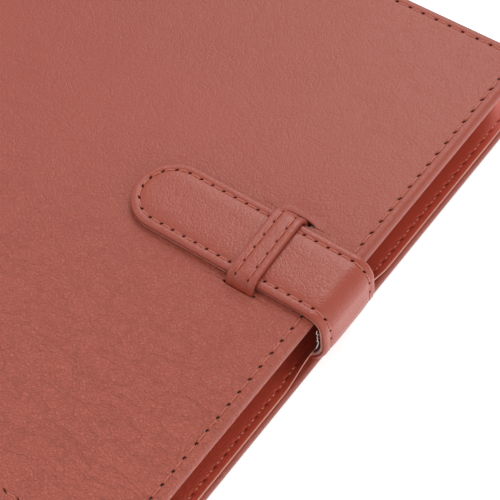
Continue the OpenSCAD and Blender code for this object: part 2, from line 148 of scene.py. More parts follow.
# shader helpers
class Nodes:
    def __init__(self, name):
        self.mat = bpy.data.materials.new(name)
        self.mat.use_nodes = True
        self.tree = self.mat.node_tree
        self.shader = self.tree.nodes["Principled BSDF"]
        self.coord = self.tree.nodes.new("ShaderNodeTexCoord")

    def add(self, kind, **settings):
        node = self.tree.nodes.new(kind)
        for key, value in settings.items():
            if key in node.inputs.keys():
                node.inputs[key].default_value = value
            else:
                setattr(node, key, value)
        return node

    def link(self, a, b):
        self.tree.links.new(a, b)

    def scaled(self, source, scale, turn=(0, 0, 0)):
        node = self.add("ShaderNodeMapping")
        node.inputs["Scale"].default_value = scale if hasattr(scale, "__len__") else (scale,) * 3
        node.inputs["Rotation"].default_value = turn
        self.link(source, node.inputs["Vector"])
        return node.outputs["Vector"]

    def noise(self, vector, scale, detail=3, rough=0.5, distortion=0.0):
        node = self.add("ShaderNodeTexNoise")
        node.inputs["Scale"].default_value = scale
        node.inputs["Detail"].default_value = detail
        node.inputs["Roughness"].default_value = rough
        node.inputs["Distortion"].default_value = distortion
        self.link(vector, node.inputs["Vector"])
        return node

    def cells(self, vector, scale, feature="F1", smooth=0.3, randomness=1.0):
        node = self.add("ShaderNodeTexVoronoi", feature=feature)
        node.inputs["Scale"].default_value = scale
        node.inputs["Randomness"].default_value = randomness
        if feature == "SMOOTH_F1":
            node.inputs["Smoothness"].default_value = smooth
        self.link(vector, node.inputs["Vector"])
        return node

    def curve(self, value, lo, hi, outLo=0.0, outHi=1.0):
        node = self.add("ShaderNodeMapRange", interpolation_type="SMOOTHSTEP")
        for key, v in (("From Min", lo), ("From Max", hi), ("To Min", outLo), ("To Max", outHi)):
            node.inputs[key].default_value = v
        self.link(value, node.inputs["Value"])
        return node.outputs["Result"]

    def sum(self, a, b, op="ADD"):
        node = self.add("ShaderNodeMath", operation=op)
        for i, x in enumerate((a, b)):
            if isinstance(x, (int, float)):
                node.inputs[i].default_value = x
            else:
                self.link(x, node.inputs[i])
        return node.outputs[0]

    def mixColour(self, factor, a, b, mode="MIX"):
        node = self.add("ShaderNodeMix", data_type="RGBA", blend_type=mode)
        for key, x in (("Factor", factor), ("A", a), ("B", b)):
            socket = [s for s in node.inputs if s.name == key and s.enabled][0] \
                if key != "Factor" else node.inputs[0]
            if isinstance(x, (tuple, list)):
                socket.default_value = (*x, 1) if len(x) == 3 else x
            elif isinstance(x, (int, float)):
                socket.default_value = x
            else:
                self.link(x, socket)
        return [s for s in node.outputs if s.enabled][0]

    def bump(self, height, strength, distance, under=None):
        node = self.add("ShaderNodeBump")
        node.inputs["Strength"].default_value = strength
        node.inputs["Distance"].default_value = distance
        self.link(height, node.inputs["Height"])
        if under is not None:
            self.link(under, node.inputs["Normal"])
        return node.outputs["Normal"]


# the hide runs from the tail, where its grain is strong, to the smoother head
# hole is the painted shade colour inside needle holes and slits; bendLow to bendShare place the painted
# shade at the strap's bend, lineScale and lineHalf the painted glint lines
hide = dict(tail=-0.09, head=0.045, smooth=0.4, strong=1.4, cloud=0.12, hole=(0.04, 0.007, 0.004),
            bendLow=0.0205, bendHigh=0.0312, bendShare=0.85, lineScale=330, lineHalf=0.015)


def leatherMaterial(name, colour, dark, grainSize=1.05, grain=0.55, rough=(0.4, 0.54), sheen=0.12,
                    crease=0.7, tailLightPaint=1.0, bendShadeTone=None):
    n = Nodes(name)
    where = n.coord.outputs["Object"]
    axes = n.add("ShaderNodeSeparateXYZ")
    n.link(where, axes.inputs[0])
    warp = n.noise(where, 260, 2, 0.5)
    pushed = n.add("ShaderNodeVectorMath", operation="MULTIPLY_ADD")
    n.link(warp.outputs["Color"], pushed.inputs[0])
    pushed.inputs[1].default_value = (0.0011,) * 3
    n.link(where, pushed.inputs[2])
    place = pushed.outputs[0]
    perMetre = 1 / (grainSize * mm)
    pebbles = n.cells(place, perMetre, "SMOOTH_F1", 0.35)
    seams = n.cells(place, perMetre, "DISTANCE_TO_EDGE")
    fine = n.noise(where, perMetre * 3.2, 3, 0.6)
    coarse = n.cells(n.scaled(place, (1, 0.62, 1), (0, 0, 0.7)), perMetre / 2.6, "DISTANCE_TO_EDGE")
    wander = n.noise(n.scaled(where, (1.0, 1.7, 1.0), (0, 0, 0.5)), 90, 4, 0.62, 0.6)
    folds = n.curve(wander.outputs["Fac"], 0.47, 0.5, 0, 1)
    foldsBack = n.curve(wander.outputs["Fac"], 0.5, 0.53, 1, 0)
    creaseLine = n.sum(folds, foldsBack, "MULTIPLY")
    patches = n.noise(where, 13, 3, 0.5)
    stronger = n.curve(patches.outputs["Fac"], 0.35, 0.65, 0.55, 1.0)
    groove = n.curve(seams.outputs["Distance"], 0.0, 0.2, 0, 1)
    wide = n.curve(coarse.outputs["Distance"], 0.0, 0.12, 0, 1)
    bodyH = n.sum(n.sum(groove, 0.55, "MULTIPLY"), n.sum(pebbles.outputs["Distance"], -0.55, "MULTIPLY"))
    bodyH = n.sum(bodyH, n.sum(fine.outputs["Fac"], 0.4, "MULTIPLY"))
    bodyH = n.sum(bodyH, n.sum(wide, 0.45, "MULTIPLY"))
    bodyH = n.sum(n.sum(bodyH, stronger, "MULTIPLY"), n.sum(creaseLine, -crease, "MULTIPLY"))
    soft = n.noise(where, 55, 3, 0.5)
    first = n.bump(soft.outputs["Fac"], 0.3, 0.0012)
    strong, smooth = hide["strong"] * grain, hide["smooth"] * grain
    belly = n.curve(axes.outputs["Y"], hide["tail"], hide["head"], strong, smooth)
    relief = n.add("ShaderNodeBump", Distance=0.00042)
    n.link(belly, relief.inputs["Strength"])
    n.link(bodyH, relief.inputs["Height"])
    n.link(first, relief.inputs["Normal"])
    n.link(relief.outputs["Normal"], n.shader.inputs["Normal"])
    clouds = n.noise(where, 9, 4, 0.6)
    toned = n.mixColour(n.curve(clouds.outputs["Fac"], 0.3, 0.7, 0, hide["cloud"]), colour, dark)
    # painted light: the base colour turns paler towards the tail, to offset the shade of the stronger grain
    # there
    if tailLightPaint > 1:
        pale = tuple(c * tailLightPaint ** power for c, power in zip(colour, (1, 1.8, 2.3)))
        toned = n.mixColour(n.curve(axes.outputs["Y"], -0.1, 0.02, 0.9, 0), toned, pale)
    # painted shade: the grain's seams and creases are darkened towards the dark tone
    paintedCreaseShade = n.sum(n.curve(seams.outputs["Distance"], 0.0, 0.1, 0.09, 0), stronger, "MULTIPLY")
    paintedCreaseShade = n.sum(paintedCreaseShade, n.sum(creaseLine, 0.05, "MULTIPLY"), "MAXIMUM")
    skinTone = n.mixColour(paintedCreaseShade, toned, dark)
    # painted highlights: fine pale lines, stretched one way, stand in for glints along the grain's creases;
    # more of them towards the tail
    lines = n.noise(n.scaled(place, (1.0, 1.9, 1.0), (0, 0, 0.72)), hide["lineScale"], 3, 0.55, 0.9)
    rising = n.curve(lines.outputs["Fac"], 0.5 - hide["lineHalf"], 0.5, 0, 1)
    falling = n.curve(lines.outputs["Fac"], 0.5, 0.5 + hide["lineHalf"], 1, 0)
    glintLines = n.sum(rising, falling, "MULTIPLY")
    share = n.sum(n.curve(axes.outputs["Y"], -0.09, 0.03, 0.55, 0.06), stronger, "MULTIPLY")
    glintTone = tuple(min(c * 1.75, 1) for c in (colour[0], colour[1] * 1.3, colour[2] * 1.5))
    skinTone = n.mixColour(n.sum(glintLines, share, "MULTIPLY"), skinTone, glintTone)
    if bendShadeTone:
        # painted shade: darker and redder where the strap turns over the fore-edge and takes less light and
        # sheen
        turned = n.curve(axes.outputs["Z"], hide["bendLow"], hide["bendHigh"], hide["bendShare"], 0)
        skinTone = n.mixColour(turned, skinTone, bendShadeTone)
    # painted shade: needle holes and slits, marked by the pit attribute, are darkened to the hole colour and
    # lose their shine
    pits = n.add("ShaderNodeAttribute", attribute_name="pit")
    opened = n.curve(pits.outputs["Fac"], 0.12, 0.6, 0, 1)
    n.link(n.mixColour(opened, skinTone, hide["hole"]), n.shader.inputs["Base Color"])
    n.link(n.curve(pits.outputs["Fac"], 0.1, 0.5, 0.5, 0), n.shader.inputs["Specular IOR Level"])
    n.link(n.curve(fine.outputs["Fac"], 0.3, 0.7, rough[0], rough[1]), n.shader.inputs["Roughness"])
    n.shader.inputs["Sheen Weight"].default_value = sheen
    n.shader.inputs["Sheen Roughness"].default_value = 0.4
    n.shader.inputs["Sheen Tint"].default_value = (1.0, 0.8, 0.85, 1)
    return n.mat


def threadMaterial(name, colour, dark):
    n = Nodes(name)
    where = n.coord.outputs["Object"]
    strands = n.add("ShaderNodeTexWave", wave_type="BANDS", bands_direction="DIAGONAL")
    strands.inputs["Scale"].default_value = 900
    strands.inputs["Distortion"].default_value = 1.5
    n.link(where, strands.inputs["Vector"])
    fuzz = n.noise(where, 4000, 2)
    n.link(n.mixColour(n.curve(strands.outputs["Fac"], 0.1, 0.9, 0.5, 0), colour, dark),
           n.shader.inputs["Base Color"])
    n.link(n.bump(n.sum(strands.outputs["Fac"], fuzz.outputs["Fac"]), 0.5, 0.0001),
           n.shader.inputs["Normal"])
    n.shader.inputs["Roughness"].default_value = 0.45
    n.shader.inputs["Sheen Weight"].default_value = 0.3
    return n.mat


def fibreMaterial(name, colour, dark, size=0.25, rough=0.85, grain=0.3, fleck=0.3):
    n = Nodes(name)
    where = n.coord.outputs["Object"]
    fibres = n.noise(n.scaled(where, (1, 3.2, 1), (0, 0, 0.4)), 1 / (size * mm), 4, 0.7, 0.5)
    mottle = n.noise(where, 60, 3, 0.6)
    n.link(n.mixColour(n.sum(n.curve(fibres.outputs["Fac"], 0.35, 0.7, 0, fleck),
                             n.curve(mottle.outputs["Fac"], 0.3, 0.7, 0, fleck / 2)), colour, dark),
           n.shader.inputs["Base Color"])
    n.link(n.bump(fibres.outputs["Fac"], grain, 0.00008), n.shader.inputs["Normal"])
    n.shader.inputs["Roughness"].default_value = rough
    n.shader.inputs["Specular IOR Level"].default_value = 0.3
    return n.mat


def metalMaterial(name, colour, dark):
    n = Nodes(name)
    where = n.coord.outputs["Object"]
    turned = n.noise(n.scaled(where, (1, 1, 12)), 700, 3, 0.6)
    tarnish = n.noise(where, 220, 3, 0.6)
    n.link(n.mixColour(n.curve(tarnish.outputs["Fac"], 0.45, 0.75, 0, 0.6), colour, dark),
           n.shader.inputs["Base Color"])
    n.link(n.curve(turned.outputs["Fac"], 0.3, 0.7, 0.22, 0.4), n.shader.inputs["Roughness"])
    n.link(n.bump(turned.outputs["Fac"], 0.15, 0.00005), n.shader.inputs["Normal"])
    n.shader.inputs["Metallic"].default_value = 1.0
    return n.mat


coverLeather = leatherMaterial("coverLeather", (0.27, 0.0425, 0.0205), (0.175, 0.022, 0.0095), sheen=0.08,
                               tailLightPaint=1.22)
strapLeather = leatherMaterial("strapLeather", (0.272, 0.0415, 0.0195), (0.175, 0.021, 0.0095), grain=0.28,
                               sheen=0.08, rough=(0.3, 0.44), crease=0.5, bendShadeTone=(0.3, 0.036, 0.013))
liningLeather = leatherMaterial("liningLeather", (0.53, 0.072, 0.037), (0.36, 0.034, 0.016), grainSize=0.8,
                                grain=0.25, rough=(0.4, 0.52), crease=0.2, sheen=0.05)
backingLeather = leatherMaterial("backingLeather", (0.26, 0.05, 0.035), (0.16, 0.025, 0.016), grain=0.2)
cutEdge = fibreMaterial("cutLeatherEdge", (0.62, 0.3, 0.23), (0.4, 0.14, 0.1), fleck=0.5)
backingEdge = fibreMaterial("backingEdge", (0.8, 0.52, 0.44), (0.25, 0.07, 0.05), fleck=0.9)
sewingThread = threadMaterial("sewingThread", (0.5, 0.12, 0.06), (0.26, 0.05, 0.024))
innerThread = threadMaterial("innerThread", (0.78, 0.32, 0.22), (0.5, 0.14, 0.09))
looseThread = threadMaterial("looseThread", (0.85, 0.78, 0.74), (0.62, 0.5, 0.45))
greyBoard = fibreMaterial("greyBoard", (0.3, 0.28, 0.25), (0.2, 0.18, 0.16), 0.5)
blackCard = fibreMaterial("blackCard", (0.02, 0.02, 0.022), (0.035, 0.034, 0.034), 0.4, 0.8)
postBrass = metalMaterial("postBrass", (0.75, 0.52, 0.24), (0.45, 0.27, 0.12))
print("materials ready")


# sewn sheets: a flat pattern of s (in from the closed end), v and depth
def patternRow(length, half, inset, radius, sides, corner, end):
    r = max(radius - inset, 0.35)
    a = np.linspace(0, 1, sides + 1)
    s = length + (inset + r - length) * a
    pts = [(x, -(half - inset)) for x in s]
    for i in range(1, corner + 1):
        t = math.pi / 2 * i / corner
        pts.append((inset + r - r * math.sin(t), -(half - inset - r) - r * math.cos(t)))
    if end:
        vs = np.linspace(-(half - inset - r), half - inset - r, end + 1)[1:]
        pts += [(inset, v) for v in vs]
    for i in range(1, corner + 1):
        t = math.pi / 2 * (1 - i / corner)
        pts.append((inset + r - r * math.sin(t), (half - inset - r) + r * math.cos(t)))
    pts += [(x, half - inset) for x in s[::-1][1:]]
    return pts


def zipRows(a, b, pts):
    # triangles between two rows of different counts that run the same way
    faces, i, j = [], 0, 0
    while i < len(a) - 1 or j < len(b) - 1:
        goA = i < len(a) - 1
        if goA and j < len(b) - 1:
            da = math.dist(pts[a[i + 1]][:2], pts[b[j]][:2])
            db = math.dist(pts[a[i]][:2], pts[b[j + 1]][:2])
            goA = da <= db
        if goA:
            faces.append((a[i], a[i + 1], b[j]))
            i += 1
        else:
            faces.append((a[i], b[j + 1], b[j]))
            j += 1
    return faces


def sewnSheet(length, half, radius, rows, gap, sLines, vLines, step=0.45, corner=8):
    # rows run from the outermost hidden row to the innermost; depth is 0 on top
    sides = int(length / step)
    end = int((2 * half - 2 * radius) / step) if half - radius > 0.5 else 0
    pts, faces, tags = [], [], []
    ringRows = []
    for k, (inset, depth) in enumerate(rows):
        row = patternRow(length, half, inset, radius, sides, corner, end)
        ringRows.append(list(range(len(pts), len(pts) + len(row))))
        pts += [(s, v, depth) for s, v in row]
    for k in range(len(rows) - 1):
        a, b = ringRows[k], ringRows[k + 1]
        for i in range(len(a) - 1):
            faces.append((a[i], a[i + 1], b[i + 1], b[i]))
            tags.append(k)
    inner = rows[-1][0] + gap
    begin = inner + 0.45 * max(radius - rows[-1][0], 0)
    ss = sorted({round(x, 4) for x in sLines if begin < x < length} | {round(begin, 4), round(length, 4)})
    vs = sorted({round(x, 4) for x in vLines if abs(x) < half - inner}
                | {round(-(half - inner), 4), round(half - inner, 4)})
    base = len(pts)
    cols = len(vs)
    grid = [(s, v, rows[-1][1]) for s in ss for v in vs]
    pts += grid
    index = lambda i, j: base + i * cols + j
    for i in range(len(ss) - 1):
        for j in range(cols - 1):
            faces.append((index(i, j), index(i, j + 1), index(i + 1, j + 1), index(i + 1, j)))
            tags.append(len(rows))
    border = [index(i, 0) for i in range(len(ss) - 1, -1, -1)]
    border += [index(0, j) for j in range(1, cols)]
    border += [index(i, cols - 1) for i in range(1, len(ss))]
    zipped = zipRows(ringRows[-1], border, pts)
    faces += zipped
    tags += [len(rows)] * len(zipped)
    return np.array(pts, float), faces, np.array(tags), ringRows


def columnsAt(path, distances):
    # the row's vertex nearest to each distance along it
    p = np.array(path)
    run = np.concatenate([[0], np.cumsum(np.hypot(*np.diff(p[:, :2], axis=0).T))])
    return [int(np.argmin(abs(run - d))) for d in distances if -0.01 <= d <= run[-1] + 0.01], run


# what one needle hole does to the points round it: rows off, places off, sink share, painted shade
holeShape = ((-1, 0, 1.4, 0.6), (1, 0, 1.4, 0.6), (0, -1, 2.2, 1.0), (0, 1, 2.2, 1.0),
             (1, -1, 1.2, 0.7), (-1, 1, 1.2, 0.7), (0, -2, 0.8, 0.35), (0, 2, 0.8, 0.35))


def pierce(sheet, inset, distances, depth=0.75, side=0.2):
    # needle pits at those distances along the row that lies at inset
    pts, ring = sheet["pts"], sheet["ring"]
    k = min(range(len(ring)), key=lambda i: abs(sheet["rows"][i][0] - inset) + (sheet["rows"][i][1] < -0.7))
    row = ring[k]
    cols, run = columnsAt(pts[row], distances)
    for c in cols:
        pts[row[c], 2] -= depth
        # the pit value is the painted shade of the hole
        sheet["pit"][row[c]] = 1
        for rowOff, off, share, shade in holeShape:
            kk, cc = k + rowOff, c + off
            if 0 <= cc < len(row):
                pts[ring[kk][cc], 2] -= side * share
                sheet["pit"][ring[kk][cc]] = max(sheet["pit"][ring[kk][cc]], shade)
    return [(row, a, b) for a, b in zip(cols, cols[1:])]


stitch = dict(points=9, short=1.1, high=-0.12, low=-0.55)


def stitchPaths(sheet, spans, high=stitch["high"]):
    # each stitch as points of s, v and depth; it stops short of its needle holes
    out = []
    for row, a, b in spans:
        p = sheet["flat"][[row[i] for i in range(a, b + 1)]]
        places = np.linspace(stitch["short"], len(p) - 1 - stitch["short"], stitch["points"])
        q = np.array([[np.interp(t, range(len(p)), p[:, c]) for c in range(2)] for t in places])
        u = np.linspace(-1, 1, stitch["points"])
        h = stitch["low"] + (high - stitch["low"]) * (1 - abs(u) ** 4)
        out.append(np.column_stack([q, h]))
    return out


def makeSheet(**pattern):
    pts, faces, tags, ring = sewnSheet(**pattern)
    return dict(pts=pts, flat=pts.copy(), faces=faces, tags=tags, ring=ring, rows=pattern["rows"],
                pit=np.zeros(len(pts)))


def sheetPiece(name, sheet, place, flip, material, edgeTags=(), edgeMaterial=None):
    where = place(sheet["pts"])
    faces = [f[::-1] for f in sheet["faces"]] if flip else sheet["faces"]
    piece = meshPiece(name, where, faces)
    piece.data.materials.append(material)
    if edgeMaterial:
        piece.data.materials.append(edgeMaterial)
        marks = np.isin(sheet["tags"], list(edgeTags)).astype(int)
        piece.data.polygons.foreach_set("material_index", marks.tolist())
    # the pit attribute carries the painted shade of needle holes and slits
    shade = piece.data.attributes.new("pit", "FLOAT", "POINT")
    shade.data.foreach_set("value", sheet["pit"].astype(np.float32))
    return piece


# a stitch is thinner at its two ends
endTaper = ([-1, -0.8, 0, 0.8, 1], [0.55, 0.85, 1, 0.85, 0.55])


def threadPiece(name, paths, place, radius, material, sidesRound=7):
    verts, faces = [], []
    for path in paths:
        c = place(path)
        n = place(path + [0, 0, 1]) - c
        n /= np.linalg.norm(n, axis=1)[:, None]
        t = np.gradient(c, axis=0)
        t /= np.linalg.norm(t, axis=1)[:, None]
        b = np.cross(t, n)
        size = radius * mm * np.interp(np.linspace(-1, 1, len(c)), *endTaper)
        base = len(verts)
        for i in range(len(c)):
            for j in range(sidesRound):
                a = 2 * math.pi * j / sidesRound
                verts.append(c[i] + size[i] * (math.cos(a) * b[i] * 1.12 + math.sin(a) * n[i] * 0.9))
        for i in range(len(c) - 1):
            for j in range(sidesRound):
                k = (j + 1) % sidesRound
                faces.append((base + i * sidesRound + j, base + i * sidesRound + k,
                              base + (i + 1) * sidesRound + k, base + (i + 1) * sidesRound + j))
        last = base + (len(c) - 1) * sidesRound
        faces.append(tuple(base + j for j in range(sidesRound))[::-1])
        faces.append(tuple(last + j for j in range(sidesRound)))
    piece = meshPiece(name, verts, faces)
    piece.data.materials.append(material)
    return piece


def smoothStep(x, lo, hi):
    t = np.clip((np.asarray(x, float) - lo) / (hi - lo), 0, 1)
    return t * t * (3 - 2 * t)


# the leather case: two halves that meet along the middle of the spine
case = dict(jointFlat=3.0, groove=0.55, edgeRadius=2.6, stitchIn=3.6, pitch=5.34, thick=3.8, skin=0.8,
            lining=0.8, jointThinner=2.2, step=0.445, clear=8, turnIn=9.0, inner=9.0)
flatLen = coverLen / mm + case["jointFlat"]
cornerLen = cornerR / mm * math.pi / 2
spineHalf = (spineHi - spineLo) / mm / 2
caseLen = flatLen + cornerLen + spineHalf
# section of the case at its edge: inset from the edge and depth, from the turned-in end to the top
caseRows = [(case["turnIn"], -3.8), (3, -3.8), (1.3, -3.8), (0.8, -3.77), (0.42, -3.6), (0.16, -3.3),
            (0.03, -2.9), (0, -2.45), (0.04, -1.95), (0.16, -1.45), (0.38, -1.0), (0.68, -0.62),
            (1.04, -0.34), (1.42, -0.16), (1.85, -0.06), (2.3, -0.03), (2.7, -0.04), (3.0, -0.09),
            (3.3, -0.17), (3.6, -0.25), (3.9, -0.17), (4.2, -0.09), (4.6, -0.03), (5.2, 0), (6.0, 0),
            (7.0, 0), (8.0, 0), (case["inner"], 0)]


def caseLine(s):
    # point and outward direction of the front half, s in mm from the fore-edge
    s = np.asarray(s, float)
    R = cornerR / mm
    a = np.clip((s - flatLen) / R, 0, math.pi / 2)
    x = foreX / mm - np.minimum(s, flatLen) - R * np.sin(a)
    z = topZ / mm - R * (1 - np.cos(a)) - np.maximum(s - flatLen - cornerLen, 0)
    return x, z, -np.sin(a), np.cos(a)


def caseThickness(s):
    # it is thin between the boards, where it bends
    joint = smoothStep(s, coverLen / mm - 1.2, coverLen / mm + 0.6)
    spine = smoothStep(s, flatLen + cornerLen - 0.6, flatLen + cornerLen + 1.2)
    return case["thick"] - case["jointThinner"] * joint * (1 - spine)


def placeCase(pts, front=True):
    s, v, h = pts[:, 0], pts[:, 1], pts[:, 2]
    x, z, nx, nz = caseLine(s)
    dip = case["groove"] * np.exp(-((s - coverLen / mm - 1.6) / 1.5) ** 2)
    skin = case["skin"]
    h = np.where(h < -skin, -skin + (h + skin) * (caseThickness(s) - skin) / (case["thick"] - skin), h) - dip
    out = np.column_stack([x + nx * h, v, z + nz * h]) * mm
    if not front:
        out[:, 2] = topZ - out[:, 2]
    return out


def placeLining(pts, front=True, lift=None):
    # depth 0 is the lining's visible face
    s, v, h = pts[:, 0], pts[:, 1], pts[:, 2]
    x, z, nx, nz = caseLine(s)
    t = caseThickness(s) + case["lining"]
    out = np.column_stack([x - nx * (t + h), v, z - nz * (t + h)]) * mm
    if lift is not None:
        out[:, 2] -= lift(s, v) * mm
    if not front:
        out[:, 2] = topZ - out[:, 2]
    return out


def spaced(lo, hi, step):
    return list(np.arange(lo, hi, step))


# the slits that the keeper goes down through, s and v in mm, and the keeper itself
keeper = dict(at=26.6, wide=10.4, stitchIn=2.8, pitch=5.6, slitOut=1.8, slitV=15.85, slitHalf=1.05,
              lip=0.75, skew=0.9, rise=4.7, thread=0.19)
slitMid = keeper["at"] - keeper["slitOut"] / 2
slitHalfLen = (keeper["wide"] + keeper["slitOut"]) / 2 + 0.25


def openSlits(sheet):
    pts = sheet["pts"]
    s, v = pts[:, 0], pts[:, 1]
    o = abs(v) - keeper["slitV"]
    w0 = keeper["slitHalf"]
    along = np.clip(abs(s - slitMid) / slitHalfLen, 0, 1)
    w = w0 * (1 - along ** 3) ** 0.6
    near = abs(s - slitMid) < slitHalfLen + 4
    inside = abs(o) <= w0 + 1e-3
    moved = np.where(inside, o * w / w0, o + np.sign(o) * (w - w0) * np.exp(-(abs(o) - w0) / 1.4))
    pts[:, 1] = np.where(near & (abs(o) < 6), np.sign(v) * (keeper["slitV"] + moved), v)
    deep = (abs(o) < w0 - 0.05) & (along < 0.985)
    bell = np.exp(-((s - slitMid) / (slitHalfLen * 0.95)) ** 4)
    lip = keeper["lip"] * bell * np.exp(-((abs(o) - w0) / 0.9) ** 2) * np.where(o > 0, 1.0, 0.45)
    dent = -0.22 * bell * np.exp(-((abs(o) - w0 - 2.6) / 1.6) ** 2)
    pts[:, 2] += np.where(deep, -1.25, lip + dent)
    # painted shade: the open slits are marked fully dark
    sheet["pit"][:] = np.where(deep, 1.0, sheet["pit"])


def perimeterHoles(length, half, inset, pitch, keep):
    # distances along a cover's stitch row, counted from the middle of the fore-edge
    total = 2 * (length - inset) + 2 * (half - inset)
    mid = total / 2
    n = int(mid / pitch)
    return [mid + (k + 0.5) * pitch for k in range(-n - 1, n + 1) if abs((k + 0.5) * pitch) < keep]


def coverSheet(withSlits):
    sLines = spaced(10, flatLen - 6, 6) + spaced(flatLen - 6, caseLen, 0.5)
    vLines = spaced(-100, 101, 6)
    if withSlits:
        sLines += spaced(slitMid - 10, slitMid + 10, 0.4)
        for side in (-1, 1):
            m, w = keeper["slitV"], keeper["slitHalf"]
            vLines += [side * (m + o) for o in (-w, -w + 0.1, 0, w - 0.1, w)]
            around = (0.25, 0.6, 1.0, 1.5, 2.1, 2.8, 3.6, 4.6)
            vLines += [side * (m + q * (w + o)) for q in (-1, 1) for o in around]
    sheet = makeSheet(length=caseLen, half=halfHigh / mm, radius=case["edgeRadius"], rows=caseRows,
                      gap=0.6, sLines=sLines, vLines=vLines, step=case["step"])
    keep = halfHigh / mm - case["stitchIn"] + coverLen / mm - case["clear"]
    holes = perimeterHoles(caseLen, halfHigh / mm, case["stitchIn"], case["pitch"], keep)
    spans = pierce(sheet, case["stitchIn"], holes)
    if withSlits:
        openSlits(sheet)
    return sheet, spans


frontSheet, frontSpans = coverSheet(True)
frontCase = sheetPiece("front_leather", frontSheet, placeCase, True, coverLeather)
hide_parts("front_skin", "front_joint_skin", "spine_skin")
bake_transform(frontCase)

backSheet, backSpans = coverSheet(False)
backCase = sheetPiece("back_leather", backSheet, lambda p: placeCase(p, False), False, coverLeather)
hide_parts("back_skin", "back_joint_skin")
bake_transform(backCase)
print("leather case sewn")


# linings
lining = dict(stitchIn=3.6, pitch=5.34, liftRun=16.0, cornerRadius=2.5, holeDepth=0.35, holeSide=0.1,
              holeTone=0.4)
strap = dict(width=27.0, thick=2.6, reach=63.8, out=3.6, topRadius=6.2, rise=6.0, gap=0.3, stitchIn=3.0,
             pitch=4.5, step=0.408, hidden=2.5, thread=0.19, holeDepth=0.6, holeSide=0.14)
liningRows = [(5.5, -0.8), (1.15, -0.8), (1.02, -0.74), (1.0, -0.4), (1.02, -0.1), (1.15, 0), (1.6, 0),
              (2.3, 0), (2.8, -0.02), (3.2, -0.08), (3.6, -0.12), (4.0, -0.08), (4.4, -0.02), (5.0, 0),
              (6.0, 0), (7.4, 0), (9, 0)]
rimTags = (1, 2, 3, 4)                         # the rows that are the lining's cut edge
strapHalf = strap["width"] / 2
topMiddle = topZ / mm + strap["gap"] + strap["thick"] / 2
baseMiddle = case["thick"] - strap["thick"] / 2
topArc = (strap["out"] - strap["topRadius"], topMiddle - strap["topRadius"])
lowRadius = topArc[1] - strap["rise"] - baseMiddle
lowArc = (strap["out"] - lowRadius, baseMiddle + lowRadius)


def liningLift(s, v):
    # the strap pushes the back lining up where it comes out
    x = -np.asarray(s, float)
    reach = lowRadius - strap["thick"] / 2 - 0.1
    inside = np.clip(x - lowArc[0], 0, None)
    lifted = lowArc[1] - np.sqrt(np.maximum(reach ** 2 - inside ** 2, 0)) - case["thick"]
    rise = np.where(x > lowArc[0], lifted, 0)
    share = 0.5 + 0.5 * np.cos(math.pi * np.clip((abs(v) - strapHalf - 0.2) / lining["liftRun"], 0, 1))
    return rise * share


liftClear = 15                                 # no stitches this near the strap's middle, mm
longestSpan = 16                               # a gap of more places than this isn't a stitch


def liningSheet(liftZone):
    sLines = spaced(10, flatLen - 6, 6) + spaced(flatLen - 6, caseLen, 0.5)
    vLines = spaced(-100, 101, 6)
    if liftZone:
        vLines += spaced(-32, 32.1, 1.0)
    sheet = makeSheet(length=caseLen, half=halfHigh / mm, radius=lining["cornerRadius"], rows=liningRows,
                      gap=0.6, sLines=sLines, vLines=vLines, step=case["step"])
    keep = halfHigh / mm - case["stitchIn"] + coverLen / mm - case["clear"]
    holes = perimeterHoles(caseLen, halfHigh / mm, lining["stitchIn"], lining["pitch"], keep)
    if liftZone:
        mid = caseLen + halfHigh / mm - 2 * lining["stitchIn"]
        holes = [h for h in holes if abs(h - mid) > liftClear]
    spans = pierce(sheet, lining["stitchIn"], holes, lining["holeDepth"], lining["holeSide"])
    # the lining's needle holes get less painted shade
    sheet["pit"] *= lining["holeTone"]
    return sheet, [sp for sp in spans if sp[2] - sp[1] < longestSpan]


def placeBackLining(pts):
    return placeLining(pts, False, liningLift)


frontLiningSheet, frontLiningSpans = liningSheet(False)
frontLining = sheetPiece("front_lining_leather", frontLiningSheet, placeLining, False, liningLeather,
                         rimTags, cutEdge)
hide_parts("front_lining", "front_joint_lining", "spine_lining")
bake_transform(frontLining)

backLiningSheet, backLiningSpans = liningSheet(True)
backLining = sheetPiece("back_lining_leather", backLiningSheet, placeBackLining, True, liningLeather,
                        rimTags, cutEdge)
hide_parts("back_lining", "back_joint_lining")
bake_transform(backLining)


def bobbinPaths(sheet, spans, seen=0.17, lean=0.12):
    # on the lining side only two short slanted bits of each stitch stand up
    out = []
    for row, a, b in spans:
        p = sheet["flat"][[row[i] for i in range(a, b + 1)]]
        for middle in (0.33, 0.68):
            t = np.linspace(middle - seen / 2, middle + seen / 2, 9) * (len(p) - 1)
            q = np.array([[np.interp(x, range(len(p)), p[:, c]) for c in range(2)] for x in t])
            along = q[-1] - q[0]
            side = np.array([-along[1], along[0]]) / np.hypot(*along)
            u = np.linspace(-1, 1, 9)
            q = q + u[:, None] * side * lean
            out.append(np.column_stack([q, 0.1 - 0.35 * abs(u) ** 3]))
    return out


def coverThreads(name, body, node, outer, outerSpans, inner, innerSpans, placeOut, placeIn):
    a = threadPiece(name, stitchPaths(outer, outerSpans, -0.1), placeOut, 0.17, sewingThread)
    b = threadPiece(name + "_inside", bobbinPaths(inner, innerSpans), placeIn, 0.2, innerThread)
    for piece in (a, b):
        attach(piece, body)
    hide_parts(node)


coverThreads("front_stitches", "front_cover", "front_thread", frontSheet, frontSpans, frontLiningSheet,
             frontLiningSpans, placeCase, lambda p: placeLining(p * [1, 1, -1]))
coverThreads("back_stitches", "back_cover", "back_thread", backSheet, backSpans, backLiningSheet,
             backLiningSpans, lambda p: placeCase(p, False), lambda p: placeBackLining(p * [1, 1, -1]))
print("linings and stitches done")


